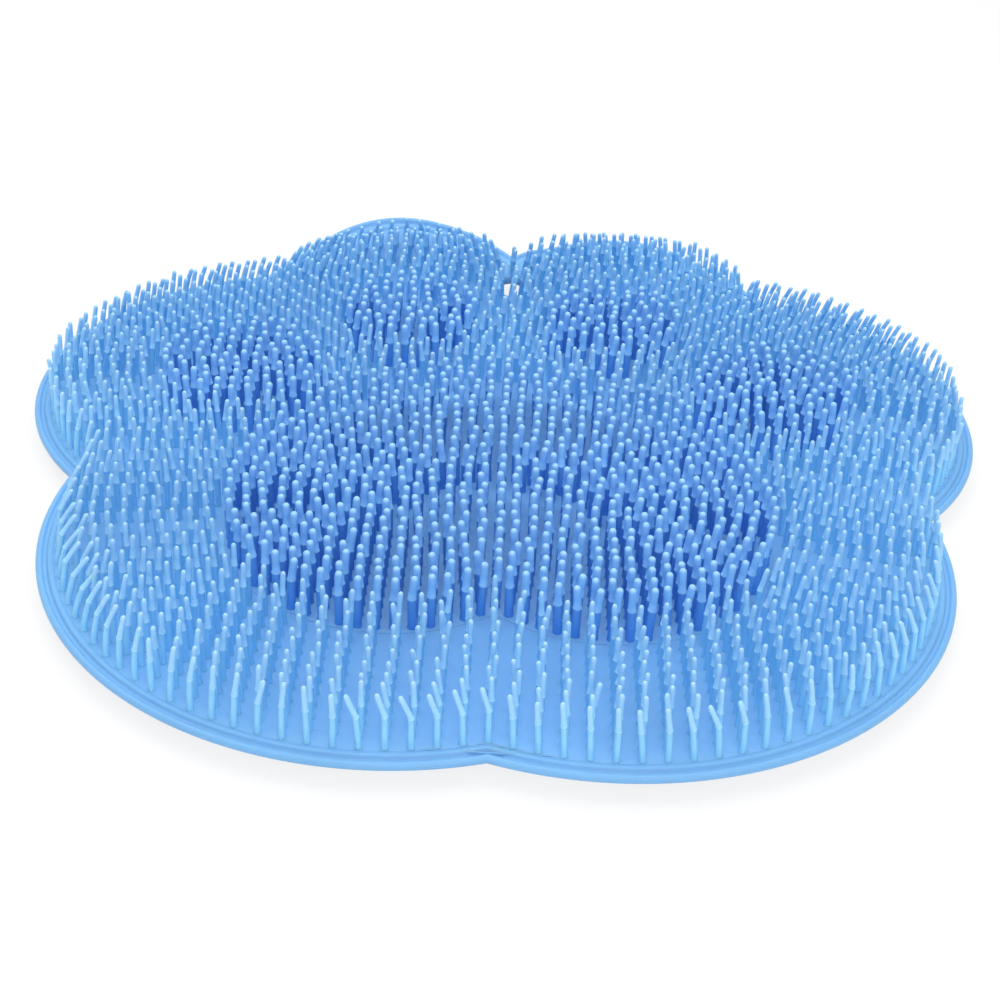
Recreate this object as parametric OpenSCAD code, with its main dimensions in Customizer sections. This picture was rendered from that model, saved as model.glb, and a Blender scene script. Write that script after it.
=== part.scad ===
// Shower foot scrubber: one moulded silicone mat with a six-lobed outline, a field of
// thin bristles, five pads of thick bristles and suction cups underneath.
// Millimetres, +Z up, origin on the resting plane under the middle of the mat's box.
// The two large front lobes point to -Y and the hanging hole is near the +Y edge.

/* [Lobes] */
// radius of the two front lobes
front_r = 100; // [85:1:115]
// distance of a front lobe's centre from the mirror line
front_x = 30.5; // [20:0.5:40]
// place of the front lobes' centres along the mat
front_y = -51.5; // [-60:0.5:-40]
// radius of the two side lobes
side_r = 83; // [75:0.5:92]
// distance of a side lobe's centre from the mirror line
side_x = 67; // [60:0.5:74]
// place of the side lobes' centres along the mat
side_y = 25.5; // [16:0.5:34]
// radius of the two back lobes
back_r = 49.5; // [44:0.5:56]
// distance of a back lobe's centre from the mirror line
back_x = 40; // [34:0.5:44]
// place of the back lobes' centres along the mat
back_y = 94; // [88:0.5:104]

/* [Base plate] */
// thickness of the base plate, whose edge is a full round
plate_t = 2.4; // [1.8:0.1:4]
// distance from the edge to the groove that runs round the rim
groove_inset = 1.8; // [1.4:0.1:3]
// width of the rim groove
groove_w = 1.4; // [0.8:0.1:2]
// depth of the rim groove
groove_depth = 0.8; // [0.4:0.1:1.2]

/* [Hanging hole] */
// radius of the hanging hole
hole_r = 5; // [3:0.25:7]
// distance of the hole's centre from the notch between the back lobes
hole_inset = 19; // [16:0.5:26]

/* [Bristles] */
// height of the bristles above their own floor
bristle_h = 16.5; // [10:0.5:20]
// radius of a thin bristle of the field
field_bristle_r = 0.9; // [0.7:0.05:1.1]
// radius of a thick bristle of the pads
pad_bristle_r = 1.2; // [1:0.05:1.5]

/* [Bristle layout] */
// distance from the mat's edge to the outermost row
row_inset = 6.4; // [5.5:0.1:9]
// spacing of the rows, 4.6 on the real mat
row_pitch = 7.2; // [4.6:0.1:9]
// spacing of the columns of thin bristles, 6.2 on the real mat
field_pitch = 9.5; // [6.2:0.1:12]
// spacing of the columns in the heel pad, 4.8 on the real mat
heel_pitch = 7.4; // [4.8:0.1:9]
// spacing of the columns in the four toe pads, 5.2 on the real mat
toe_pitch = 7.8; // [5.2:0.1:9]

/* [Pads] */
// how far the pads' floor stands above the plate
pad_rise = 0.3; // [0.2:0.1:0.6]
// width of the pads' floor outside the outermost thick bristles' centres
pad_margin = 2.2; // [1.7:0.1:2.6]
// radius of the heel pad's two front halves
heel_front_r = 46; // [36:0.5:50]
// radius of the outer toe pads
outer_toe_r = 24; // [18:0.5:28]
// distance of an outer toe pad from the mirror line
outer_toe_x = 84; // [78:0.5:90]
// place of the outer toe pads along the mat
outer_toe_y = 22; // [14:0.5:30]
// radius of the inner toe pads
inner_toe_r = 21; // [16:0.5:24]
// distance of an inner toe pad from the mirror line
inner_toe_x = 34; // [28:0.5:38]
// place of the inner toe pads along the mat
inner_toe_y = 65; // [58:0.5:72]

/* [Suction cups] */
// height of the cups under the plate
cup_h = 5.5; // [4:0.5:9]
// radius of a cup's lip
cup_r = 9.5; // [7:0.5:12]
// radius of a cup's neck at the plate
cup_neck_r = 4.5; // [3.5:0.5:6]
// width of the flat lip that rests on the floor
cup_lip = 1; // [0.6:0.1:1.5]
// spacing of the cups
cup_pitch = 46; // [36:0.5:60]
// smallest distance from a cup's lip to the mat's edge
cup_margin = 9; // [6:0.5:16]

/* [Hidden] */
rubber_blue = "#62a8f0";
curve_fn = 180;
cup_fn = 48;
bristle_fn = 16;
bristle_root = 0.15;
cup_root = 1;
overlap = 0.5;

edge_front = front_y - front_r;
edge_back = back_y + back_r;
mid_y = (edge_front + edge_back) / 2;
half_w = side_x + side_r;
field_floor = cup_h + plate_t;
pad_floor = field_floor + pad_rise;
notch_y = back_y + sqrt(back_r * back_r - back_x * back_x);
hole = [0, notch_y - hole_inset];

// A lobe or a pad is [x, y, radius] on the right half and is mirrored to the left.
lobes = [[front_x, front_y, front_r], [side_x, side_y, side_r], [back_x, back_y, back_r]];
toes = [[outer_toe_x, outer_toe_y, outer_toe_r], [inner_toe_x, inner_toe_y, inner_toe_r]];
heel_front = [front_x, front_y, heel_front_r];
heel_back = [0, front_y, front_x + heel_front_r];

// How deep a point lies inside a circle, inside the nearest lobe and inside the nearest pad.
function inside(c, p) = c[2] - norm([p.x - c.x, p.y - c.y]);
function depth(p) = max([for (c = lobes) inside(c, [abs(p.x), p.y])]);
function toe_depth(p) = max([for (c = toes) inside(c, p)]);
function heel_depth(p) = p.y < front_y ? inside(heel_front, p) : inside(heel_back, p);
function pad_depth(p) = max(heel_depth(p), toe_depth(p));

// Half the length of a circle's chord at x, or 0 outside the circle.
function half_chord(c, x, inset = 0) =
    let (r = c[2] - inset, d = abs(x - c.x)) d < r ? sqrt(r * r - d * d) : 0;

// The first row's place on a column, from the front edge and from the back edge.
function front_row(x) = min([for (c = lobes) if (abs(x - c.x) < c[2] - row_inset)
    c.y - half_chord(c, x, row_inset)]);
function back_row(x) = max([for (c = lobes) if (abs(x - c.x) < c[2] - row_inset)
    c.y + half_chord(c, x, row_inset)]);

// One column of bristles, evenly spaced from y0 to y1 at about the row spacing, so that the
// rows near either end follow that end's edge.
function column(x, y0, y1) = let (n = round((y1 - y0) / row_pitch))
    n < 1 ? [[x, (y0 + y1) / 2]] : [for (i = [0 : n]) [x, y0 + (y1 - y0) * i / n]];

// The outer point where two lobes' circles cross, which is a notch in the outline.
function notch(a, b) =
    let (d = norm([b.x - a.x, b.y - a.y]), u = [b.x - a.x, b.y - a.y] / d,
         m = (a[2] * a[2] - b[2] * b[2] + d * d) / (2 * d), h = sqrt(a[2] * a[2] - m * m))
    [a.x + m * u.x + h * u.y, a.y + m * u.y - h * u.x];
notches = [notch(lobes[0], lobes[1]), notch(lobes[1], lobes[2])];
function near_notch(p) = min([for (n = notches) norm(p - n)]) < 2 * row_inset;

field_gap = 0.8 * row_pitch;
field_cols = floor((half_w - row_inset) / field_pitch);
field_points = [for (i = [0 : field_cols]) let (x = i * field_pitch)
    each [for (p = column(x, front_row(x), back_row(x)))
        if ((depth(p) > row_inset - 0.01 || !near_notch(p)) && pad_depth(p) < -field_gap
            && norm(p - hole) > hole_r + field_bristle_r + 1.5) p]];

heel_cols = floor(heel_back[2] / heel_pitch);
heel_points = [for (i = [0 : heel_cols]) let (x = i * heel_pitch)
    each [for (p = column(x, front_y - half_chord(heel_front, x), front_y + half_chord(heel_back, x)))
        if (toe_depth(p) < -field_gap) p]];

function toe_points(c) = let (n = floor(c[2] / toe_pitch))
    [for (i = [-n : n]) let (x = c.x + i * toe_pitch, h = half_chord(c, x))
        each column(x, c.y - h, c.y + h)];
pad_points = concat(heel_points, toe_points(toes[0]), toe_points(toes[1]));

// A hexagonal pattern of cups, kept clear of the edge and of the hanging hole.
cup_rows = ceil((edge_back - edge_front) / cup_pitch);
cup_points = [for (j = [-cup_rows : cup_rows], i = [-cup_rows : cup_rows])
    let (p = [(i + (j % 2 == 0 ? 0 : 0.5)) * cup_pitch, j * cup_pitch * sqrt(3) / 2 + mid_y])
    if (depth(p) > cup_r + cup_margin && norm(p - hole) > cup_r + hole_r + 3) p];

module both_sides(points) {
    for (p = points) {
        translate(p) children();
        if (p.x > 0.01) translate([-p.x, p.y]) children();
    }
}

module lobes_2d(inset) {
    for (s = [-1, 1], c = lobes)
        translate([s * c.x, c.y]) circle(r = c[2] - inset, $fn = curve_fn);
}

// One lobe of the plate, with a full round edge.
module lobe_disc(c) {
    e = plate_t / 2;
    rotate_extrude($fn = curve_fn)
        polygon(concat([[0, 0]], [for (a = [-90 : 30 : 90]) [c[2] - e + e * cos(a), e + e * sin(a)]],
            [[0, plate_t]]));
}

// The heel pad's floor: two front half circles and a back half circle that is tangent to them.
module heel_2d() {
    w = 2 * heel_back[2];
    intersection() {
        for (s = [-1, 1])
            translate([s * heel_front.x, front_y]) circle(r = heel_front[2] + pad_margin, $fn = curve_fn);
        translate([-w, front_y - w]) square([2 * w, w]);
    }
    intersection() {
        translate([0, front_y]) circle(r = heel_back[2] + pad_margin, $fn = curve_fn);
        translate([-w, front_y]) square([2 * w, w]);
    }
}

module toe_2d() {
    for (s = [-1, 1], c = toes)
        translate([s * c.x, c.y]) circle(r = c[2] + pad_margin, $fn = curve_fn);
}

module plate() {
    difference() {
        union() {
            for (s = [-1, 1], c = lobes) translate([s * c.x, c.y]) lobe_disc(c);
            translate([0, 0, plate_t - overlap]) linear_extrude(pad_rise + overlap) {
                heel_2d();
                toe_2d();
            }
        }
        translate([0, 0, plate_t - groove_depth]) linear_extrude(groove_depth + overlap)
            difference() {
                lobes_2d(groove_inset);
                lobes_2d(groove_inset + groove_w);
            }
        translate([hole.x, hole.y, -overlap])
            cylinder(r = hole_r, h = plate_t + 2 * overlap, $fn = cup_fn);
    }
}

// A bristle's shaft, rooted in the floor that it stands on.
module bristle(r) {
    translate([0, 0, -bristle_root]) cylinder(r = r, h = bristle_h + bristle_root, $fn = bristle_fn);
}

// A suction cup: a neck under the plate, a flared bell and a flat lip at z = 0.
module cup() {
    rotate_extrude($fn = cup_fn)
        polygon([[0, cup_h + cup_root], [cup_neck_r, cup_h + cup_root], [cup_neck_r, cup_h - 1],
            [cup_r, 0.8], [cup_r, 0], [cup_r - cup_lip, 0], [cup_neck_r - 1, cup_h - 2.4],
            [0, cup_h - 2.4]]);
}

module scrubber_mat() {
    color(rubber_blue) union() {
        translate([0, -mid_y, cup_h]) plate();
        translate([0, -mid_y, field_floor]) both_sides(field_points) bristle(field_bristle_r);
        translate([0, -mid_y, pad_floor]) both_sides(pad_points) bristle(pad_bristle_r);
        for (p = cup_points) translate([p.x, p.y - mid_y]) cup();
    }
}

scrubber_mat();
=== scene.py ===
"""Shower foot scrubber: one moulded mat of translucent blue silicone, seen from the front.

The CAD part is the frame. Here the mat gets its soft looks: a rim with a bead and a groove,
bristles that lean and bend, two back lobes that curl up, and suction cups underneath.
Lengths are in millimetres, with the layout's own origin, until a mesh is made.
"""

import math

import bpy
import numpy as np
from mathutils import Matrix, Vector
from mathutils.geometry import delaunay_2d_cdt


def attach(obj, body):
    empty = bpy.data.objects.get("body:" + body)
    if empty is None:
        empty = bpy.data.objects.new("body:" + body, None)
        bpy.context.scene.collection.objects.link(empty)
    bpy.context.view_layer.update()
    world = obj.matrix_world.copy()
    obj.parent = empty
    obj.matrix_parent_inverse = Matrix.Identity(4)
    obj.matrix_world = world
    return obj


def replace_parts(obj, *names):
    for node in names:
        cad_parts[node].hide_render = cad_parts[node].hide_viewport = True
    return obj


MM = 0.001

# The mat's driving sizes, as in the part's source, but for the pads' slightly thicker bristles.
# A circle is (x, y, radius) on the right half
FRONT_LOBE = (30.5, -51.5, 100.0)
SIDE_LOBE = (67.0, 25.5, 83.0)
BACK_LOBE = (40.0, 94.0, 49.5)
PLATE_T = 2.4
CUP_H = 5.5
CUP_R = 9.5
CUP_PITCH = 46.0
CUP_MARGIN = 9.0
HOLE_R = 5.0
HOLE_INSET = 19.0
BRISTLE_H = 16.5
FIELD_ROOT_R = 0.9
PAD_ROOT_R = 1.25
ROW_INSET = 6.4
PAD_RISE = 0.3
PAD_MARGIN = 2.2
HEEL_FRONT = (30.5, -51.5, 46.0)
HEEL_BACK = (0.0, -51.5, HEEL_FRONT[0] + HEEL_FRONT[2])
TOES = ((84.0, 22.0, 24.0), (34.0, 65.0, 21.0))

# The distance from ring to ring, of the field and of the pads
ROW_PITCH = 4.6
HEEL_PITCH = 4.7
TOE_PITCH = 4.8
# The distance from bristle to bristle along a ring, for the field's three lobes and the pads
FRONT_SPACING = 6.4
SIDE_SPACING = 5.4
BACK_SPACING = 5.7
HEEL_SPACING = 4.9
TOE_SPACING = 5.1
# The least distance from bristle to bristle, from a thin one to a pad and from one to the hole,
# and from a cup to the hole
LEAST_GAP = 3.7
PAD_GAP = 0.8 * ROW_PITCH
HOLE_GAP = 1.5
CUP_HOLE_GAP = 3.0
# How far a point may lie off the mirror line, or off its own ring, and still count as on it
ON_LINE = 0.01
ON_RING = 0.05

# Along a ring of the field: the front notch, front lobe, side notch, side lobe, side notch,
# back lobe and back notch, with the angles at which the side and back lobes have a bristle
FIELD_SPACINGS = (FRONT_SPACING,) * 2 + (SIDE_SPACING,) * 2 + (BACK_SPACING,) * 3
SIDE_ANCHOR = math.radians(52.0)
BACK_ANCHOR = math.radians(90.0)
ODD_BACK_ANCHOR = BACK_ANCHOR + BACK_SPACING / 2 / BACK_LOBE[2]
FIELD_ANCHORS = (None, None, None, SIDE_ANCHOR, None, BACK_ANCHOR, None)
ODD_ANCHORS = (None, None, None, SIDE_ANCHOR, None, ODD_BACK_ANCHOR, None)

# Bristles that stand right in front of the hanging hole, as places from its middle
HOLE_GUARDS = (
    (0.0, -7.6), (3.3, -6.8), (6.9, -4.2), (0.0, -12.2), (4.7, -11.0), (0.0, -16.8), (4.4, -15.8),
)

PLATE_TOP = CUP_H + PLATE_T
LOBES = (FRONT_LOBE, SIDE_LOBE, BACK_LOBE)
EDGE_FRONT = FRONT_LOBE[1] - FRONT_LOBE[2]
EDGE_BACK = BACK_LOBE[1] + BACK_LOBE[2]
MID_Y = (EDGE_FRONT + EDGE_BACK) / 2
HALF_WIDTH = SIDE_LOBE[0] + SIDE_LOBE[2]

# The camera, from the outline in the photo: 1800 pixels of focal length in a frame of 1000
FOCAL_PX = 1800.0
FRAME_PX = 1000.0
SENSOR_MM = 36.0
CAMERA_AT = (-0.1, -473.4, 302.0)
CAMERA_DOWN = math.radians(33.48)
CAMERA_ROLL = math.radians(2.965)

SEED = 7


# Circles of the layout

def mirrored(c):
    """The same circle on the other side of the mirror line."""
    return (-c[0], *c[1:])


def inside(c, x, y):
    """How deep a point lies inside a circle."""
    return c[2] - math.hypot(x - c[0], y - c[1])


def depth(x, y):
    """How deep a point lies inside the nearest lobe."""
    return max(inside(c, abs(x), y) for c in LOBES)


def toe_depth(x, y):
    """How deep a point lies inside the nearest toe pad of the right half."""
    return max(inside(c, x, y) for c in TOES)


def heel_depth(x, y):
    """How deep a point lies inside the heel pad."""
    return inside(HEEL_FRONT if y < HEEL_FRONT[1] else HEEL_BACK, x, y)


def crossing(a, b, inset=0.0):
    """The crossing of two circles that lies on the right of the way from a to b."""
    ra, rb = a[2] - inset, b[2] - inset
    d = math.hypot(b[0] - a[0], b[1] - a[1])
    ux, uy = (b[0] - a[0]) / d, (b[1] - a[1]) / d
    m = (ra * ra - rb * rb + d * d) / (2 * d)
    h = math.sqrt(ra * ra - m * m)
    return a[0] + m * ux + h * uy, a[1] + m * uy - h * ux


FRONT_NOTCH = crossing(mirrored(FRONT_LOBE), FRONT_LOBE)
SIDE_NOTCHES = (crossing(FRONT_LOBE, SIDE_LOBE), crossing(SIDE_LOBE, BACK_LOBE))
BACK_NOTCH = crossing(BACK_LOBE, mirrored(BACK_LOBE))
NOTCHES = (FRONT_NOTCH, *SIDE_NOTCHES, BACK_NOTCH)
HOLE = (0.0, BACK_NOTCH[1] - HOLE_INSET)
HEEL_NOTCH = crossing(mirrored(HEEL_FRONT), HEEL_FRONT)

# The right half of the two outlines, as circles and the points where one gives way to the next
MAT_EDGE = (LOBES, NOTCHES)
HEEL_EDGE = (
    (HEEL_FRONT, HEEL_BACK),
    (HEEL_NOTCH, (HEEL_BACK[2], HEEL_BACK[1]), (0.0, HEEL_BACK[1] + HEEL_BACK[2])),
)


# Rings that follow an edge at an inset

def bearing(a, b):
    """The angle of the way from a to b."""
    return math.atan2(b[1] - a[1], b[0] - a[0])


def swing(a, b):
    """The shorter turn from angle a to angle b."""
    return (b - a + math.pi) % (2 * math.pi) - math.pi


def edge_arcs(edge, inset):
    """The line at an inset from an edge, as arcs of (middle, radius, start angle, turn).

    It starts and ends on the mirror line, and swings round each notch."""
    circles, joints = edge
    arcs = []
    facing = math.pi / 2
    for c, a, b in zip(circles, joints, joints[1:]):
        arcs.append((a, inset, facing, swing(facing, bearing(a, c))))
        start = bearing(c, a)
        arcs.append((c, c[2] - inset, start, (bearing(c, b) - start) % (2 * math.pi)))
        facing = bearing(b, c)
    arcs.append((joints[-1], inset, facing, swing(facing, -math.pi / 2)))
    return arcs


def edge_distance(edge, x, y):
    """The distance of an inner point of the right half from an edge."""
    circles, joints = edge
    found = [math.hypot(s * j[0] - x, j[1] - y) for j in joints for s in (1, -1)]
    for c, a, b in zip(circles, joints, joints[1:]):
        start = bearing(c, a)
        span = (bearing(c, b) - start) % (2 * math.pi)
        for s in (1, -1):
            if (math.atan2(y - c[1], s * x - c[0]) - start) % (2 * math.pi) < span:
                found.append(abs(inside(c, s * x, y)))
    return min(found)


def ring(edge, inset, spacings, anchors):
    """Points on the line at an inset from an edge, evenly spaced along each of its arcs.

    An anchor is the angle at which an arc has a point. Without one the points go on from the
    arc before. The first and the last point lie on the mirror line."""
    found = []
    left = 0.0
    for (middle, r, start, turn), spacing, anchor in zip(edge_arcs(edge, inset), spacings, anchors):
        length = abs(r * turn)
        if anchor is not None:
            left = (r * (anchor - start)) % spacing
        while left < length:
            a = start + turn * left / length
            found.append((middle[0] + r * math.cos(a), middle[1] + r * math.sin(a)))
            left += spacing
        left -= length
    a = start + turn
    found.append((middle[0] + r * math.cos(a), middle[1] + r * math.sin(a)))
    return found


def rings(edge, first, pitch, spacings, anchors, odd_anchors, given=()):
    """Rings from an edge inwards, without points that are too close to others or given ones."""
    kept = list(given)
    for k in range(int((FRONT_LOBE[2] - first) / pitch) + 1):
        inset = first + k * pitch
        for x, y in ring(edge, inset, spacings, odd_anchors if k % 2 else anchors):
            if x < -ON_LINE or edge_distance(edge, x, y) < inset - ON_RING:
                continue
            x = 0.0 if x < LEAST_GAP / 2 else x
            if all(math.hypot(x - u, y - v) > LEAST_GAP for u, v in kept):
                kept.append((x, y))
    return kept


# Where bristles and cups stand

def field_points():
    """The thin bristles of the right half, around the pads and the hanging hole."""
    guards = [(HOLE[0] + x, HOLE[1] + y) for x, y in HOLE_GUARDS]
    found = rings(MAT_EDGE, ROW_INSET, ROW_PITCH, FIELD_SPACINGS, FIELD_ANCHORS, ODD_ANCHORS, guards)
    clear = HOLE_R + FIELD_ROOT_R + HOLE_GAP
    return [
        (x, y)
        for x, y in found
        if max(heel_depth(x, y), toe_depth(x, y)) < -PAD_GAP
        and math.hypot(x - HOLE[0], y - HOLE[1]) > clear
    ]


def heel_points():
    """The thick bristles of the heel pad, right half."""
    arcs = len(edge_arcs(HEEL_EDGE, 0.0))
    spacings, anchors = [HEEL_SPACING] * arcs, [None] * arcs
    found = rings(HEEL_EDGE, 0.0, HEEL_PITCH, spacings, anchors, anchors)
    return [(x, y) for x, y in found if toe_depth(x, y) < -PAD_GAP]


def toe_points():
    """The thick bristles of the two toe pads of the right half."""
    found = []
    for cx, cy, radius in TOES:
        for k in range(int(radius / TOE_PITCH) + 1):
            r = radius - k * TOE_PITCH
            n = max(1, round(2 * math.pi * r / TOE_SPACING))
            turns = [2 * math.pi * i / n - math.pi / 2 for i in range(n)]
            found += [(cx + r * math.cos(a), cy + r * math.sin(a)) for a in turns]
    return found


def left_side(points):
    """The mirror images of the points that stand off the mirror line."""
    return [(-x, y) for x, y in points if x > ON_LINE]


def cup_points():
    """A hexagonal pattern of cups, kept clear of the edge and of the hanging hole."""
    reach = math.ceil((EDGE_BACK - EDGE_FRONT) / CUP_PITCH)
    hole_clear = CUP_R + HOLE_R + CUP_HOLE_GAP
    found = []
    for j in range(-reach, reach + 1):
        for i in range(-reach, reach + 1):
            x = (i + (0.5 if j % 2 else 0.0)) * CUP_PITCH
            y = j * CUP_PITCH * math.sqrt(3) / 2 + MID_Y
            clear = math.hypot(x - HOLE[0], y - HOLE[1]) > hole_clear
            if clear and depth(x, y) > CUP_R + CUP_MARGIN:
                found.append((x, y))
    return found


# Soft shape: both back lobes curl up, the left one more, and the strip between them rises

# Each lobe bends like a flap, given as (width, length of its bend, angle), where -1 is the
# left one and 1 the right one. Over the seam, to both sides of the mirror line, they blend
FLAPS = {-1: (21.0, 12.0, math.radians(43.0)), 1: (15.0, 10.0, math.radians(25.0))}
FLAP_SEAM = 12.0
RIDGE_LIFT = 4.5
RIDGE_WIDTH = 15.0
RIDGE_FROM_Y = 92.0
RIDGE_TO_Y = 126.0
# The step over which a slope is measured
SLOPE_STEP = 0.5
# How far bristles follow a slope of the plate across the mat, and lean inwards across it
ACROSS_SHARE = 0.3


def smooth(t):
    """A smooth step from 0 to 1."""
    t = np.clip(t, 0.0, 1.0)
    return t * t * (3 - 2 * t)


def flap_share(side, x):
    """How far a point belongs to one side's flap, by its place across the mat."""
    return smooth(0.5 + side * np.asarray(x, float) / (2 * FLAP_SEAM))


def flap(side, x, y):
    """How far one back lobe's flap lifts a point, and how far it draws it to the front."""
    width, bend, angle = FLAPS[side]
    share = flap_share(side, x)
    run = np.clip(np.asarray(y, float) - (EDGE_BACK - width), 0.0, None)
    bent, straight = np.minimum(run, bend), np.clip(run - bend, 0.0, None)
    r, turned = bend / angle, angle * bent / bend
    up = r * (1 - np.cos(turned)) + straight * math.sin(angle)
    back = bent - r * np.sin(turned) + straight * (1 - math.cos(angle))
    return share * up, share * back


def lift(x, y):
    """How far the soft shape lifts the plate at a point."""
    along = smooth((np.asarray(y, float) - RIDGE_FROM_Y) / (RIDGE_TO_Y - RIDGE_FROM_Y))
    ridge = RIDGE_LIFT * along * np.exp(-((np.asarray(x, float) / RIDGE_WIDTH) ** 2))
    return flap(-1, x, y)[0] + flap(1, x, y)[0] + ridge


def drawn(x, y):
    """The place along the mat of a point once the flaps have drawn it to the front."""
    return y - flap(-1, x, y)[1] - flap(1, x, y)[1]


def upright(x, y):
    """The direction that stands upright on the plate at a point."""
    e = SLOPE_STEP
    across = (lift(x + e, y) - lift(x - e, y)) / (2 * e)
    along = (lift(x, y + e) - lift(x, y - e)) / (2 * e)
    kept = (drawn(x, y + e) - drawn(x, y - e)) / (2 * e)
    d = np.stack([-ACROSS_SHARE * across, -along, kept], 1)
    return d / np.linalg.norm(d, axis=1)[:, None]


# Mesh helpers

def add_mesh(name, verts, faces, material, heights=None):
    """A piece from points of the layout, riding on the one body.

    heights, from 0 at the floor to 1 at the tips, is kept for the material, which paints light and
    shade by it."""
    mesh = bpy.data.meshes.new(name)
    placed = (np.asarray(verts, float) - (0.0, MID_Y, 0.0)) * MM
    mesh.from_pydata(placed.tolist(), [], faces)
    mesh.update()
    mesh.shade_smooth()
    if heights is not None:
        mesh.attributes.new("height", "FLOAT", "POINT").data.foreach_set("value", heights)
    obj = bpy.data.objects.new(name, mesh)
    bpy.context.scene.collection.objects.link(obj)
    mesh.materials.append(material)
    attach(obj, "root")
    return obj


def loop_faces(a, b):
    """The faces between two closed loops of vertex numbers."""
    n = len(a)
    return [(a[i], a[(i + 1) % n], b[(i + 1) % n], b[i]) for i in range(n)]


def circle_points(middle, r, turns):
    """Points on a circle at the given angles."""
    return [(middle[0] + r * math.cos(a), middle[1] + r * math.sin(a)) for a in turns]


# Plate and rim

EDGE_R = PLATE_T / 2
OUTLINE_STEP = 3.0
# How far inside the mat's edge the flat floor starts, the step of its grid of points, and how
# far they stay from its borders
FLOOR_INSET = 5.6
FLOOR_STEP = 4.0
FLOOR_MARGIN = 1.5
# How much wider than its wall the hanging hole is at its lip
HOLE_LIP = 0.35
HOLE_SIDES = 48
# How far over the hole's lip, and over the rim, the middle of a triangle of the floor may lie,
# and how close two of its points are when they count as one
HOLE_SLACK = 0.05
RIM_SLACK = 1.0
SAME_POINT = 1e-6

# The bead and the groove inside the full round edge, as (distance from the edge, height over
# the plate's underside)
BEAD = (
    (1.5, 2.36), (1.72, 2.2), (1.9, 1.86), (2.15, 1.62), (2.5, 1.56), (2.85, 1.62), (3.1, 1.86),
    (3.25, 2.24), (3.45, 2.5), (3.75, 2.6), (4.2, 2.6), (4.6, 2.58), (4.85, 2.48), (5.0, 2.32),
    (5.2, 2.28), (FLOOR_INSET, 2.4),
)
UNDERSIDE = ((FLOOR_INSET, 0.0), (3.0, 0.0))
# The hanging hole's wall from its top down, as (radius, height over the plate's underside)
HOLE_WALL = (
    (HOLE_R + 0.12, PLATE_T - 0.12), (HOLE_R, PLATE_T - 0.4), (HOLE_R, 0.4), (HOLE_R + 0.12, 0.12),
)


def outline(inset, counts=None):
    """The outline at an inset, anticlockwise, as arcs from notch to notch."""
    circles = list(LOBES) + [mirrored(c) for c in reversed(LOBES)]
    points, used = [], []
    for i, c in enumerate(circles):
        a0 = bearing(c, crossing(circles[i - 1], c, inset))
        a1 = bearing(c, crossing(c, circles[(i + 1) % len(circles)], inset))
        while a1 < a0:
            a1 += 2 * math.pi
        r = c[2] - inset
        n = counts[i] if counts else round((a1 - a0) * r / OUTLINE_STEP)
        used.append(n)
        points += circle_points(c, r, [a0 + (a1 - a0) * j / n for j in range(n)])
    return points, used


def rim_profile():
    """The rim's section as (distance from the edge, height over the plate's underside)."""
    turns = [math.radians(deg) for deg in range(-90, 91, 15)]
    edge = [(EDGE_R - EDGE_R * math.cos(a), EDGE_R + EDGE_R * math.sin(a)) for a in turns]
    return [*UNDERSIDE, *edge, *BEAD]


def floor_depth(x, y):
    """How deep a point lies inside the mat's outline, well away from the notches."""
    d = depth(x, y)
    if d > FLOOR_INSET + FLOOR_MARGIN or d < 0:
        return d
    close = min(math.hypot(abs(x) - n[0], y - n[1]) for n in NOTCHES)
    both = [*LOBES, *[mirrored(c) for c in LOBES]]
    shared = sum(inside(c, x, y) > 0 for c in both) > 1
    return max(d, close) if shared else d


def floor_grid():
    """Points spread over the plate's flat floor."""
    reach = math.ceil(HALF_WIDTH / FLOOR_STEP)
    steps = [i * FLOOR_STEP for i in range(-reach, reach + 1)]
    return [
        (x, y)
        for x in steps
        for y in steps
        if math.hypot(x - HOLE[0], y - HOLE[1]) > HOLE_R + HOLE_LIP + FLOOR_MARGIN
        and floor_depth(x, y) > FLOOR_INSET + FLOOR_MARGIN
    ]


def flat_floor(rim, hole):
    """The flat floor between the rim and the hole, as points, their sources and triangles.

    A source is a point's number in the rim, then the hole, then the grid, or -1 for a new one."""
    n, m = len(rim), len(hole)
    edges = [(i, (i + 1) % n) for i in range(n)] + [(n + i, n + (i + 1) % m) for i in range(m)]
    flat = [Vector(p) for p in rim + hole + floor_grid()]
    points, _, cells, sources, _, _ = delaunay_2d_cdt(flat, edges, [], 0, SAME_POINT)
    triangles = []
    for cell in cells:
        x = sum(points[k][0] for k in cell) / 3
        y = sum(points[k][1] for k in cell) / 3
        in_hole = math.hypot(x - HOLE[0], y - HOLE[1]) <= HOLE_R + HOLE_LIP - HOLE_SLACK
        if not in_hole and floor_depth(x, y) > FLOOR_INSET - RIM_SLACK:
            triangles.append(tuple(cell))
    return points, [s[0] if s else -1 for s in sources], triangles


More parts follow.
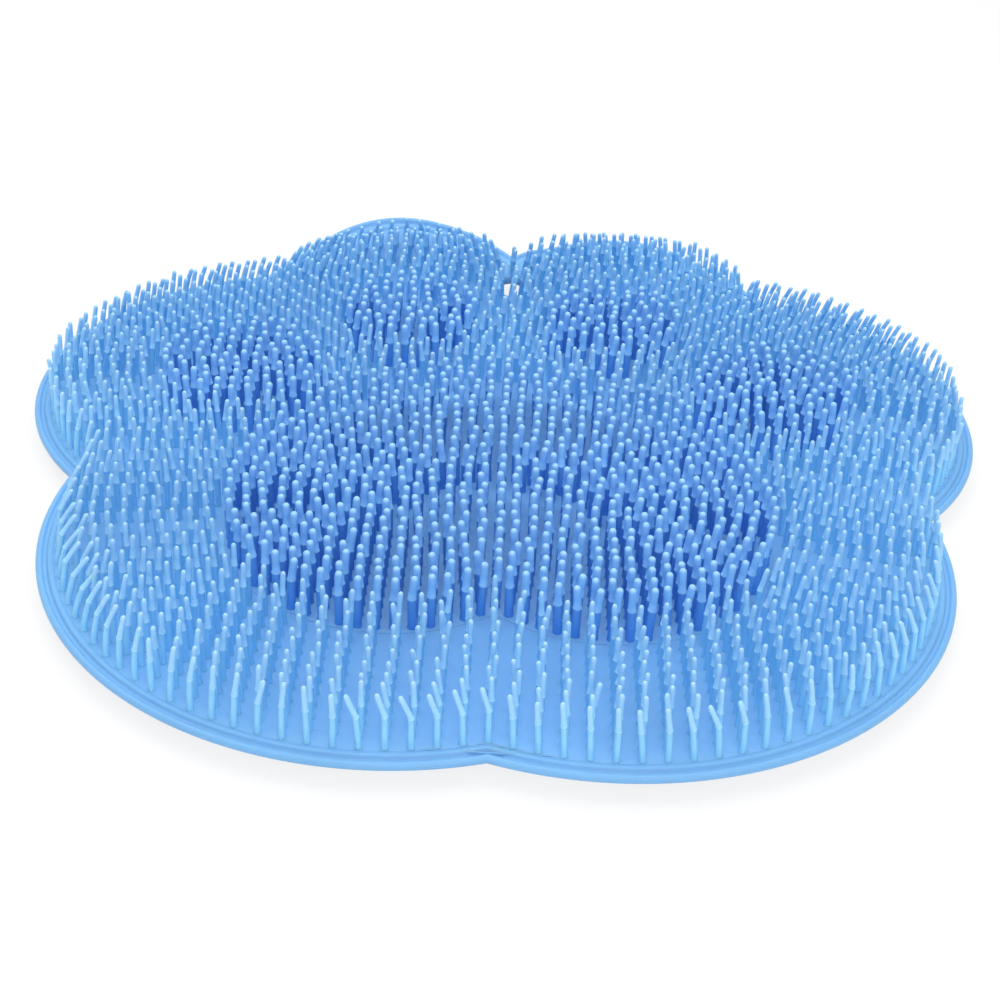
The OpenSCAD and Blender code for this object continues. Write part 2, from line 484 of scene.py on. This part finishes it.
def plate(material):
    """The base plate with its rim, hanging hole and soft shape."""
    _, counts = outline(0.0)
    n = sum(counts)
    verts, faces, loops = [], [], []
    for inset, z in rim_profile():
        loops.append(range(len(verts), len(verts) + n))
        verts += [(x, y, z) for x, y in outline(inset, counts)[0]]
    for a, b in zip(loops, loops[1:]):
        faces += loop_faces(a, b)

    turns = [-2 * math.pi * i / HOLE_SIDES for i in range(HOLE_SIDES)]
    rim = outline(FLOOR_INSET, counts)[0]
    points, sources, triangles = flat_floor(rim, circle_points(HOLE, HOLE_R + HOLE_LIP, turns))

    def floor_layer(loop, z, turned):
        """Adds the flat floor at a height, and gives its loop round the hole."""
        number = {}
        for k, (p, source) in enumerate(zip(points, sources)):
            if 0 <= source < n:
                number[k] = loop[source]
            else:
                number[k] = len(verts)
                verts.append((p[0], p[1], z))
        for t in triangles:
            face = [number[k] for k in t]
            faces.append(tuple(reversed(face)) if turned else tuple(face))
        by_source = {source: number[k] for k, source in enumerate(sources)}
        return [by_source[n + i] for i in range(HOLE_SIDES)]

    hole_loops = [floor_layer(loops[-1], PLATE_T, False)]
    bottom = floor_layer(loops[0], 0.0, True)
    for r, z in HOLE_WALL:
        hole_loops.append(range(len(verts), len(verts) + HOLE_SIDES))
        verts += [(x, y, z) for x, y in circle_points(HOLE, r, turns)]
    hole_loops.append(bottom)
    for a, b in zip(hole_loops, hole_loops[1:]):
        faces += loop_faces(a, b)

    v = np.array(verts, float)
    v[:, 2] += CUP_H + lift(v[:, 0], v[:, 1])
    v[:, 1] = drawn(v[:, 0], v[:, 1])
    return add_mesh("mat_plate", v, faces, material)


# Pad floors

PAD_STEP = 3.0
# The section of a pad's edge, as (growth over the pad's own outline, height over the plate)
PAD_SECTION = (
    (PAD_MARGIN, -0.3), (PAD_MARGIN, 0.0), (PAD_MARGIN - 0.1, 0.2), (PAD_MARGIN - 0.4, PAD_RISE),
)


def arc(c, grow, a0, a1):
    """Points along an arc from angle a0 to a1, in degrees, without its last point."""
    n = max(3, round(math.radians(a1 - a0) * c[2] / PAD_STEP))
    turns = [math.radians(a0 + (a1 - a0) * i / n) for i in range(n)]
    return circle_points(c, c[2] + grow, turns)


def pad_outlines(grow):
    """The outlines of the heel pad and of the four toe pads."""
    r = HEEL_FRONT[2] + grow
    valley = math.degrees(math.asin(math.sqrt(r * r - HEEL_FRONT[0] ** 2) / r))
    heel = arc(HEEL_FRONT, grow, valley - 180, 0)
    heel += arc(HEEL_BACK, grow, 0, 180)
    heel += arc(mirrored(HEEL_FRONT), grow, -180, -valley)
    return [heel] + [arc(c, grow, 0, 360) for toe in TOES for c in (toe, mirrored(toe))]


def pad_floors(material):
    """The slightly raised floors that the thick bristles stand on."""
    verts, faces = [], []
    for levels in zip(*[pad_outlines(grow) for grow, _ in PAD_SECTION]):
        loops = []
        for points, (_, z) in zip(levels, PAD_SECTION):
            loops.append(range(len(verts), len(verts) + len(points)))
            verts += [(x, y, PLATE_TOP + z) for x, y in points]
        for a, b in zip(loops, loops[1:]):
            faces += loop_faces(a, b)
        faces.append(tuple(loops[-1]))
        faces.append(tuple(reversed(loops[0])))
    return add_mesh("pad_floors", verts, faces, material)


# Suction cups

CUP_SIDES = 36
# From the neck's top down the outside, round the lip and up the hollow, as (radius, height)
CUP_PROFILE = (
    (0.0, CUP_H + 0.3), (4.5, CUP_H + 0.3), (4.5, 4.9), (4.9, 4.2), (6.2, 3.1), (7.9, 1.9),
    (9.2, 0.9), (CUP_R, 0.45), (9.4, 0.1), (9.2, 0.0), (8.6, 0.0), (8.35, 0.15), (7.4, 1.0),
    (5.6, 2.1), (3.5, 2.8), (1.6, 3.05), (0.0, 3.1),
)


def revolve(profile, sides, verts, faces, at):
    """Adds a solid of revolution whose profile starts and ends on the axis."""
    start = len(verts)
    verts.append((at[0], at[1], profile[0][1] + at[2]))
    turns = [2 * math.pi * k / sides for k in range(sides)]
    loops = []
    for r, z in profile[1:-1]:
        loops.append(range(len(verts), len(verts) + sides))
        verts += [(x, y, z + at[2]) for x, y in circle_points(at, r, turns)]
    end = len(verts)
    verts.append((at[0], at[1], profile[-1][1] + at[2]))
    first, last = loops[0], loops[-1]
    for a, b in zip(loops, loops[1:]):
        faces += loop_faces(b, a)
    for k in range(sides):
        faces.append((start, first[k], first[(k + 1) % sides]))
        faces.append((end, last[(k + 1) % sides], last[k]))


def suction_cups(material):
    """The cups under the plate. Those under a curled lobe are lifted with it."""
    verts, faces = [], []
    for x, y in cup_points():
        revolve(CUP_PROFILE, CUP_SIDES, verts, faces, (x, float(drawn(x, y)), float(lift(x, y))))
    return add_mesh("suction_cups", verts, faces, material)


# Bristles

BRISTLE_SIDES = 8
SHOULDER_H = 9.5
# Over which heights a bristle takes up the lean of its lower shaft and of its upper shaft
LOW_BEND = 4.0
HIGH_BEND = 2.4
HIGH_BEND_FROM = SHOULDER_H - 0.6

# Sections as (height over the floor, radius as a share of the root's radius)
THIN = (
    (-0.3, 1.0), (0.0, 1.2), (0.35, 1.03), (1.0, 0.99), (5.0, 0.97), (9.2, 0.95), (9.35, 1.02),
    (9.6, 1.02), (9.68, 0.86), (12.5, 0.84), (15.6, 0.80), (16.0, 0.71), (16.3, 0.50),
    (16.46, 0.25), (BRISTLE_H, 0.0),
)
THICK = (
    (-0.5, 1.0), (0.0, 1.15), (0.4, 1.03), (1.0, 1.0), (5.0, 0.99), (9.25, 0.98), (9.4, 1.05),
    (9.68, 1.05), (9.76, 0.87), (12.5, 0.86), (15.5, 0.84), (16.0, 0.76), (16.3, 0.56),
    (16.46, 0.28), (BRISTLE_H, 0.0),
)

# Where bristles lean together, as in the photo: the middle and size of the patch and its reach
# from the mat's edge, then the lean of the lower shaft and what the upper shaft leans more, as
# slopes along x and y
PATCHES = (
    (-112.0, -86.0, 36.0, 7.0, 0.28, 0.06, 0.52, 0.10),
    (-124.0, -38.0, 22.0, 7.0, 0.14, 0.04, 0.18, 0.05),
    (-62.0, -136.0, 20.0, 7.0, 0.04, 0.00, 0.12, 0.00),
    (-16.0, -142.0, 22.0, 7.0, -0.02, 0.00, -0.36, 0.00),
    (62.0, -150.0, 26.0, 7.0, -0.10, 0.00, -0.24, 0.03),
    (112.0, -92.0, 34.0, 9.0, -0.06, 0.02, -0.40, 0.08),
    (74.0, -78.0, 18.0, 99.0, 0.06, 0.03, 0.16, 0.08),
    (0.0, 123.0, 18.0, 25.0, -0.10, -0.26, 0.00, 0.00),
    (-62.0, 132.0, 30.0, 25.0, 0.08, -0.26, 0.00, 0.00),
    (40.0, 128.0, 32.0, 25.0, -0.14, 0.00, 0.00, 0.00),
    (-95.0, 90.0, 48.0, 25.0, 0.16, 0.00, 0.08, 0.00),
    (125.0, 72.0, 42.0, 25.0, 0.18, 0.00, 0.10, 0.00),
)
LOW_SPREAD = 0.035
HIGH_SPREAD = 0.05
# Towards the back all bristles lean to the front, and the outer rows lean inwards as well
BACK_LEAN = 0.22
SIDE_LEAN = 0.06
EDGE_LEAN = 0.32
EDGE_LEAN_REACH = 12.0
LEAN_FROM_Y = -10.0
LEAN_TO_Y = 85.0
# The share of that lean that each flap's own slope takes over, and how far from the mirror line
FLAP_EASE = {-1: 0.95, 1: 0.2}
FLAP_EASE_X = 75.0


def inwards(x, y):
    """How deep each bristle stands from the mat's edge, and the way inwards from the edge."""
    deep = np.array([edge_distance(MAT_EDGE, abs(u), v) for u, v in zip(x, y)])
    middles = [max(LOBES, key=lambda c: inside(c, abs(u), v)) for u, v in zip(x, y)]
    way = np.array([(math.copysign(c[0], u) - u, c[1] - v) for c, u, v in zip(middles, x, y)])
    way[:, 0] *= ACROSS_SHARE
    return deep, way / np.maximum(np.linalg.norm(way, axis=1), 1e-6)[:, None]


def lean(x, y, rng):
    """How each bristle leans: below the shoulder, and how much more above it, as slopes."""
    low = rng.normal(0.0, LOW_SPREAD, (len(x), 2))
    high = rng.normal(0.0, HIGH_SPREAD, (len(x), 2))
    deep, way = inwards(x, y)
    far = smooth((y - LEAN_FROM_Y) / (LEAN_TO_Y - LEAN_FROM_Y))
    for side, ease in FLAP_EASE.items():
        width, bend, _ = FLAPS[side]
        share = flap_share(side, x) * np.exp(-((x / FLAP_EASE_X) ** 6))
        far *= 1 - ease * share * smooth((y - EDGE_BACK + width) / bend)
    low += np.array([SIDE_LEAN, -BACK_LEAN]) * far[:, None]
    low += (EDGE_LEAN * far * np.exp(-(deep - ROW_INSET) / EDGE_LEAN_REACH))[:, None] * way
    for px, py, size, reach, low_x, low_y, high_x, high_y in PATCHES:
        near = np.exp(-((x - px) ** 2 + (y - py) ** 2) / size**2 - (deep - ROW_INSET) / reach)
        low += near[:, None] * np.array([low_x, low_y])
        high += near[:, None] * np.array([high_x, high_y])
    return low, high


def shafts(x, y, floor_z, profile, root_r, rng):
    """The points of all bristles, one row a bristle: its rings from the foot up, then its tip."""
    low, high = lean(x, y, rng)
    up = upright(x, y)
    turns = 2 * np.pi * np.arange(BRISTLE_SIDES) / BRISTLE_SIDES
    cos, sin = np.cos(turns)[None, :, None], np.sin(turns)[None, :, None]

    def direction(h):
        d = up.copy()
        d[:, :2] += low * smooth(h / LOW_BEND) + high * smooth((h - HIGH_BEND_FROM) / HIGH_BEND)
        return d / np.linalg.norm(d, axis=1)[:, None]

    base = np.stack([x, drawn(x, y), floor_z + lift(x, y)], 1)
    centre = base + profile[0][0] * direction(0.0)
    found = []
    for (h, share), (next_h, _) in zip(profile, profile[1:]):
        d = direction(h)
        u = np.cross(np.array([0.0, 1.0, 0.0]), d)
        u /= np.linalg.norm(u, axis=1)[:, None]
        v = np.cross(d, u)
        found.append(centre[:, None, :] + share * root_r * (u[:, None, :] * cos + v[:, None, :] * sin))
        centre = centre + (next_h - h) * direction((h + next_h) / 2)
    return np.concatenate([*found, centre[:, None, :]], 1)


def shaft_faces(levels):
    """The faces of one bristle with that many rings below its tip."""
    loops = [range(k * BRISTLE_SIDES, (k + 1) * BRISTLE_SIDES) for k in range(levels)]
    tip = levels * BRISTLE_SIDES
    faces = []
    for a, b in zip(loops, loops[1:]):
        faces += loop_faces(a, b)
    top = loops[-1]
    faces += [(top[k], top[(k + 1) % BRISTLE_SIDES], tip) for k in range(BRISTLE_SIDES)]
    return faces + [tuple(reversed(loops[0]))]


def bristles(name, points, floor_z, profile, root_r, material, rng):
    """Many bristles as one piece, each a shaft that bends at its shoulder."""
    x, y = np.array(points, float).T
    v = shafts(x, y, floor_z, profile, root_r, rng)
    count, each = v.shape[:2]
    one = shaft_faces(len(profile) - 1)
    faces = [tuple(i * each + k for k in face) for i in range(count) for face in one]
    heights = np.array([h for h, _ in profile])
    shares = np.append(np.repeat(heights[:-1], BRISTLE_SIDES), heights[-1]) / BRISTLE_H
    return add_mesh(name, v.reshape(-1, 3), faces, material, np.tile(shares, count))


# Materials

# How much light scatters inside the silicone, and the scales of its clouds and of its grain
GLOW = 0.3
THICK_GLOW = 0.25
CLOUD_SCALE = 28.0
CLOUD_DETAIL = 3.0
GRAIN_SCALE = 900.0
GRAIN_DETAIL = 2.0

# Colours from the floor to the tips, as (height as a share of a bristle's, colour). The mat's is one
# even colour; the bristles' hold painted light and shade
MAT_SHADES = ((0.0, (122, 179, 227)), (1.0, (122, 179, 227)))
# Thin bristles: a painted highlight band at the shoulder and painted light at the tips
THIN_PAINTED_SHADING = (
    (0.0, (150, 215, 253)),
    (0.558, (150, 213, 252)),
    (0.567, (168, 219, 252)),
    (0.582, (168, 219, 252)),
    (0.59, (155, 211, 251)),
    (0.92, (160, 212, 251)),
    (1.0, (172, 214, 252)),
)
# Thick bristles: painted shade at the roots between the dense pad bristles, a painted highlight band
# at the shoulder and painted light at the tips
THICK_PAINTED_SHADING = (
    (0.0, (92, 160, 234)),
    (0.558, (120, 182, 241)),
    (0.567, (150, 202, 248)),
    (0.582, (150, 202, 248)),
    (0.59, (132, 192, 246)),
    (0.92, (138, 195, 247)),
    (1.0, (156, 204, 250)),
)


def linear(r, g, b):
    """A colour of 0 to 255 as the renderer's linear values."""
    parts = [c / 255 for c in (r, g, b)]
    return tuple(c / 12.92 if c <= 0.04 else ((c + 0.055) / 1.055) ** 2.4 for c in parts)


def noise(nodes, links, scale, detail):
    """A noise texture that sits still on the piece."""
    where = nodes.new("ShaderNodeTexCoord")
    texture = nodes.new("ShaderNodeTexNoise")
    texture.inputs["Scale"].default_value = scale
    texture.inputs["Detail"].default_value = detail
    links.new(where.outputs["Object"], texture.inputs["Vector"])
    return texture.outputs["Fac"]


def silicone(name, colours_and_painted_shading, glow):
    """Translucent satin silicone, cloudy and grainy, with light and shade painted into its colour by
    height.
    """
    m = bpy.data.materials.new(name)
    m.use_nodes = True
    nodes, links = m.node_tree.nodes, m.node_tree.links
    shader = nodes["Principled BSDF"]
    shader.inputs["Roughness"].default_value = 0.42
    shader.inputs["Specular IOR Level"].default_value = 0.4
    shader.inputs["IOR"].default_value = 1.41
    shader.inputs["Subsurface Weight"].default_value = glow
    shader.inputs["Subsurface Radius"].default_value = (0.5, 0.8, 1.3)
    shader.inputs["Subsurface Scale"].default_value = 0.001

    # The colour ramp by height paints light and shade into the colour: painted shade at the roots of
    # the thick bristles, a painted highlight band at the shoulder and lighter painted tips
    height = nodes.new("ShaderNodeAttribute")
    height.attribute_name = "height"
    ramp = nodes.new("ShaderNodeValToRGB")
    stops = ramp.color_ramp.elements
    while len(stops) < len(colours_and_painted_shading):
        stops.new(0.5)
    for stop, (at, colour) in zip(stops, colours_and_painted_shading):
        stop.position = at
        stop.color = (*linear(*colour), 1.0)
    links.new(height.outputs["Fac"], ramp.inputs["Fac"])

    cloud = nodes.new("ShaderNodeMapRange")
    cloud.inputs["To Min"].default_value = 0.9
    cloud.inputs["To Max"].default_value = 1.06
    links.new(noise(nodes, links, CLOUD_SCALE, CLOUD_DETAIL), cloud.inputs["Value"])
    mix = nodes.new("ShaderNodeMix")
    mix.data_type = "RGBA"
    mix.blend_type = "MULTIPLY"
    mix.inputs["Factor"].default_value = 1.0
    links.new(ramp.outputs["Color"], mix.inputs["A"])
    links.new(cloud.outputs["Result"], mix.inputs["B"])
    links.new(mix.outputs["Result"], shader.inputs["Base Color"])

    bump = nodes.new("ShaderNodeBump")
    bump.inputs["Strength"].default_value = 0.08
    bump.inputs["Distance"].default_value = 0.0002
    links.new(noise(nodes, links, GRAIN_SCALE, GRAIN_DETAIL), bump.inputs["Height"])
    links.new(bump.outputs["Normal"], shader.inputs["Normal"])
    return m


# Stage

# How much of the floor's look is plain white for the camera. The rest shows the mat's shadow
WHITE_SHARE = 0.82
AMBIENT_STRENGTH = 0.5
# The lights, as (place and side in metres, power in watts)
KEY_LIGHT = ((-0.05, 0.14, 0.8), 0.9, 6.4)
FILL_LIGHT = ((0.2, -1.1, 0.7), 0.9, 5.8)


def floor_material():
    """White where the camera sees it, and it keeps the mat's shadow."""
    m = bpy.data.materials.new("floor")
    m.use_nodes = True
    nodes, links = m.node_tree.nodes, m.node_tree.links
    nodes.clear()
    diffuse = nodes.new("ShaderNodeBsdfDiffuse")
    diffuse.inputs["Color"].default_value = (0.9, 0.9, 0.9, 1)
    glow = nodes.new("ShaderNodeEmission")
    glow.inputs["Strength"].default_value = 1.0
    share = nodes.new("ShaderNodeMath")
    share.operation = "MULTIPLY"
    share.inputs[1].default_value = WHITE_SHARE
    links.new(nodes.new("ShaderNodeLightPath").outputs["Is Camera Ray"], share.inputs[0])
    mix = nodes.new("ShaderNodeMixShader")
    links.new(share.outputs[0], mix.inputs["Fac"])
    links.new(diffuse.outputs[0], mix.inputs[1])
    links.new(glow.outputs[0], mix.inputs[2])
    links.new(mix.outputs[0], nodes.new("ShaderNodeOutputMaterial").inputs["Surface"])
    return m


def surroundings():
    """Soft light from all sides for the mat, and plain white for the camera."""
    world = bpy.data.worlds.new("studio")
    bpy.context.scene.world = world
    world.use_nodes = True
    nodes, links = world.node_tree.nodes, world.node_tree.links
    ambient = nodes["Background"]
    ambient.inputs["Color"].default_value = (1, 1, 1, 1)
    ambient.inputs["Strength"].default_value = AMBIENT_STRENGTH
    seen = nodes.new("ShaderNodeBackground")
    seen.inputs["Color"].default_value = (1, 1, 1, 1)
    seen.inputs["Strength"].default_value = 1.0
    mix = nodes.new("ShaderNodeMixShader")
    links.new(nodes.new("ShaderNodeLightPath").outputs["Is Camera Ray"], mix.inputs["Fac"])
    links.new(ambient.outputs[0], mix.inputs[1])
    links.new(seen.outputs[0], mix.inputs[2])
    links.new(mix.outputs[0], nodes["World Output"].inputs["Surface"])


def soft_light(name, at, side, power):
    """A square area light aimed at the middle of the mat."""
    data = bpy.data.lights.new(name, "AREA")
    data.size = side
    data.energy = power
    lamp = bpy.data.objects.new(name, data)
    bpy.context.scene.collection.objects.link(lamp)
    lamp.location = at
    lamp.rotation_euler = (-Vector(at)).to_track_quat("-Z", "Y").to_euler()


def stage():
    """A white floor and white surroundings, with a high key light and a fill from the front."""
    bpy.ops.mesh.primitive_plane_add(size=8, location=(0, 0, 0))
    floor = bpy.context.object
    floor.name = "floor"
    floor.data.materials.append(floor_material())
    surroundings()
    soft_light("key", *KEY_LIGHT)
    soft_light("fill", *FILL_LIGHT)


def camera():
    """The photo's camera."""
    data = bpy.data.cameras.new("camera")
    data.sensor_width = SENSOR_MM
    data.lens = FOCAL_PX / FRAME_PX * SENSOR_MM
    data.clip_start, data.clip_end = 0.01, 20
    obj = bpy.data.objects.new("camera", data)
    bpy.context.scene.collection.objects.link(obj)
    turn = Matrix.Rotation(math.pi / 2 - CAMERA_DOWN, 4, "X") @ Matrix.Rotation(CAMERA_ROLL, 4, "Z")
    obj.matrix_world = Matrix.Translation(Vector(CAMERA_AT) * MM) @ turn
    bpy.context.scene.camera = obj


# The mat

def scrubber_mat():
    """The mat's seven pieces, all on the one body."""
    mat_finish = silicone("silicone_mat", MAT_SHADES, GLOW)
    thin_silicone_painted_shading = silicone("silicone_thin", THIN_PAINTED_SHADING, GLOW)
    # The bristles' materials carry painted light and shade by height
    thick_silicone_painted_shading = silicone("silicone_thick", THICK_PAINTED_SHADING, THICK_GLOW)
    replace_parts(plate(mat_finish), "scrubber_mat")
    suction_cups(mat_finish)
    pad_floors(mat_finish)

    rng = np.random.default_rng(SEED)
    right, heel, toes = field_points(), heel_points(), toe_points()
    left = left_side(right)
    heel += left_side(heel)
    toes += left_side(toes)
    pad_top = PLATE_TOP + PAD_RISE
    bristles("field_bristles_right", right, PLATE_TOP, THIN, FIELD_ROOT_R, thin_silicone_painted_shading, rng)
    bristles("field_bristles_left", left, PLATE_TOP, THIN, FIELD_ROOT_R, thin_silicone_painted_shading, rng)
    bristles("heel_bristles", heel, pad_top, THICK, PAD_ROOT_R, thick_silicone_painted_shading, rng)
    bristles("toe_bristles", toes, pad_top, THICK, PAD_ROOT_R, thick_silicone_painted_shading, rng)


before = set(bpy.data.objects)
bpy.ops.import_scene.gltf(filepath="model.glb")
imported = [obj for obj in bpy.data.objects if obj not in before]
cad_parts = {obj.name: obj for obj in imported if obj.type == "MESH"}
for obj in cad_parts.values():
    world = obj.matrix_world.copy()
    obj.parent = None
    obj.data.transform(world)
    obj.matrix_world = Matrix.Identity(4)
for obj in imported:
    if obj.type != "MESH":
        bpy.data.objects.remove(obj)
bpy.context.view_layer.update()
camera()
stage()
scrubber_mat()
bpy.context.scene.view_settings.view_transform = "Standard"
